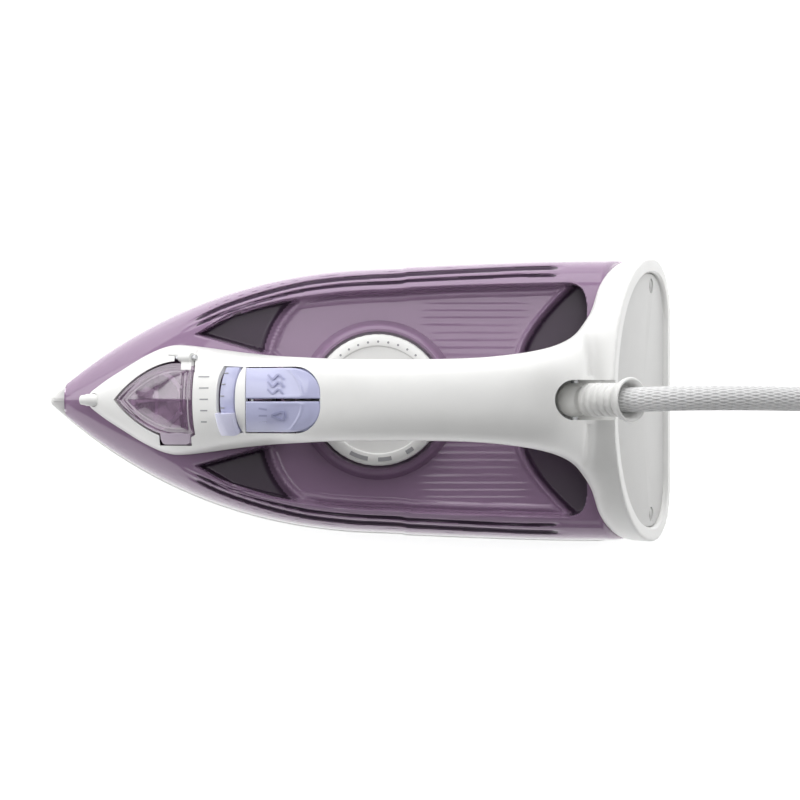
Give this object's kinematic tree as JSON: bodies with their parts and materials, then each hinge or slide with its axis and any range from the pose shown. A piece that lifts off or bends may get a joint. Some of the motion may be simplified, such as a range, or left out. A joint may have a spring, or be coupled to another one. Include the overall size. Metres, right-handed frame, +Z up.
{
  "type": "steam iron",
  "caption": "Corded steam iron with a translucent water tank, filler door, steam slider, spray and steam boost keys, temperature dial and swivelling cord guard.",
  "frame": {"origin": "middle of the footprint, on the surface that the soleplate rests on", "axes": "+X from nose to heel, +Y to the left seen from the heel, +Z up out of the handle"},
  "size_m": [0.5958, 0.1386, 0.1491],
  "materials": {
    "white": "satin moulded",
    "grey": "fine texture",
    "violet": "clear tinted, polished",
    "lavender": "satin moulded",
    "sole": "polished cast",
    "steel": "plain",
    "brass": "plain",
    "ceramic": "unglazed",
    "silicone": "translucent",
    "dark": "moulded",
    "rubber": "soft moulded",
    "cord": "braided textile"
  },
  "bodies": {
    "iron": {"sole_skirt": "white", "handle_cover": "white", "spray_nozzle": "white", "mains_plug": "white", "under_grip": "grey", "rear_panel": "grey", "boost_pump_body": "grey", "spray_pump_body": "grey", "tank_shell": "violet", "tank_floor": "violet", "filler_well": "violet", "slider_track": "lavender", "soleplate": "sole", "heating_element": "steel", "steam_chamber_cover": "steel", "fuse_bracket": "steel", "sole_screw_nose": "steel", "sole_screw_left": "steel", "sole_screw_right": "steel", "door_hinge_pin": "steel", "rear_screw_left": "steel", "rear_screw_right": "steel", "button_hinge_pin": "steel", "slider_pivot_pin": "steel", "valve_spring": "steel", "boost_return_spring": "steel", "spray_return_spring": "steel", "guard_pivot_pin": "steel", "element_terminal_left": "brass", "element_terminal_right": "brass", "steam_valve_body": "brass", "plug_pin_live": "brass", "plug_pin_neutral": "brass", "plug_pin_earth": "brass", "thermostat": "ceramic", "thermal_fuse": "ceramic", "tank_gasket": "silicone", "spray_hose": "silicone", "boost_hose": "silicone", "lead_live": "silicone", "lead_neutral": "silicone", "lead_earth": "silicone", "terminal_block": "dark", "cord_clamp": "dark", "cord_tie": "dark", "mains_cord": "cord", "cord_coil": "cord", "cord_tail": "cord", "inner_cord": "cord"},
    "dial": {"temperature_dial": "white", "dial_spindle": "brass"},
    "slider": {"steam_slider": "lavender"},
    "valve": {"valve_needle": "steel"},
    "boost_key": {"steam_boost_button": "lavender"},
    "boost_piston": {"boost_plunger": "silicone"},
    "spray_key": {"spray_button": "lavender"},
    "spray_piston": {"spray_plunger": "silicone"},
    "door": {"filler_door": "violet"},
    "guard": {"cord_guard": "rubber"}
  },
  "joints": [
    {"name": "dial_turn", "type": "hinge", "parent": "iron", "child": "dial", "pos_m": [0.0074, 0, 0.061], "axis": [0, 0, 1], "range_deg": [-135, 135]},
    {"name": "slider_swing", "type": "hinge", "parent": "iron", "child": "slider", "pos_m": [-0.04281, 0, 0.0827], "axis": [-0.788, 0, -0.6157], "range_deg": [0, 46]},
    {"name": "valve_lift", "type": "slide", "parent": "iron", "child": "valve", "axis": [0, 0, 1], "range_m": [0, 0.004], "deforming": ["valve_spring"]},
    {"name": "boost_press", "type": "hinge", "parent": "iron", "child": "boost_key", "pos_m": [-0.0466, 0, 0.1066], "axis": [0, 1, 0], "range_deg": [0, 4.5], "stiffness_Nm_per_rad": 2},
    {"name": "boost_pump_stroke", "type": "slide", "parent": "iron", "child": "boost_piston", "axis": [0, 0, -1], "range_m": [0, 0.0015], "deforming": ["boost_return_spring"]},
    {"name": "spray_press", "type": "hinge", "parent": "iron", "child": "spray_key", "pos_m": [-0.0466, 0, 0.1066], "axis": [0, 1, 0], "range_deg": [0, 4.5], "stiffness_Nm_per_rad": 2},
    {"name": "spray_pump_stroke", "type": "slide", "parent": "iron", "child": "spray_piston", "axis": [0, 0, -1], "range_m": [0, 0.0015], "deforming": ["spray_return_spring"]},
    {"name": "door_open", "type": "hinge", "parent": "iron", "child": "door", "pos_m": [-0.076, 0.0186, 0.0808], "axis": [-0.7373, 0, -0.6756], "range_deg": [0, 100]},
    {"name": "guard_swing", "type": "hinge", "parent": "iron", "child": "guard", "pos_m": [0.092, 0, 0.107], "axis": [0, 1, 0], "range_deg": [-14, 14], "deforming": ["mains_cord"]}
  ],
  "couplings": [
    {"joint": "valve_lift", "follows": "slider_swing", "m_per_rad": 0.0045},
    {"joint": "boost_pump_stroke", "follows": "boost_press", "m_per_rad": 0.0156},
    {"joint": "spray_pump_stroke", "follows": "spray_press", "m_per_rad": 0.0156}
  ]
}
